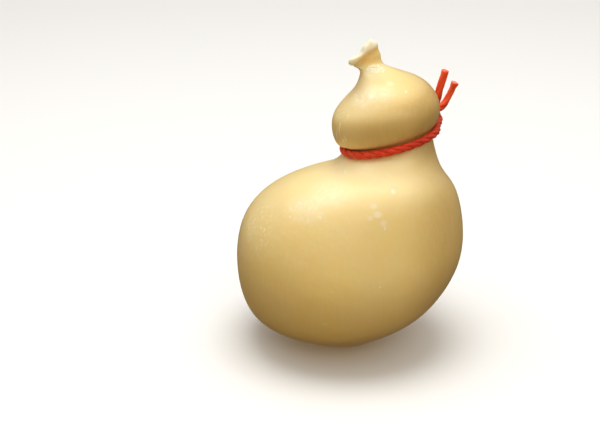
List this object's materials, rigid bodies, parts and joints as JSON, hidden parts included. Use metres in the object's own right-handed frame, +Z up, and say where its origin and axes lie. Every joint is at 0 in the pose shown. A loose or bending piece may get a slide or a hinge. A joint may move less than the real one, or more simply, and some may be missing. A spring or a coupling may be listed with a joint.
{
  "type": "aged caciocavallo cheese",
  "caption": "Pear-shaped aged cheese with a small round head, tied round the neck with a red laid cord whose short ends stand up.",
  "frame": {"origin": "middle of the small flat spot that the cheese rests on, at the level of what it stands on", "axes": "+Z up, from the flat spot to the stalk; +X to the right, the side that the head leans to and the cord is knotted on; +Y away from the front"},
  "size_m": [0.1712, 0.1574, 0.2346],
  "materials": {
    "waxy_rind": "smooth oily rind of an aged stretched-curd cheese, slightly see-through, pale straw yellow",
    "red_fibre": "three-strand laid cord, red, slightly glossy fibres"
  },
  "bodies": {
    "root": {"cheese": "waxy_rind", "cord": "red_fibre"}
  },
  "joints": []
}
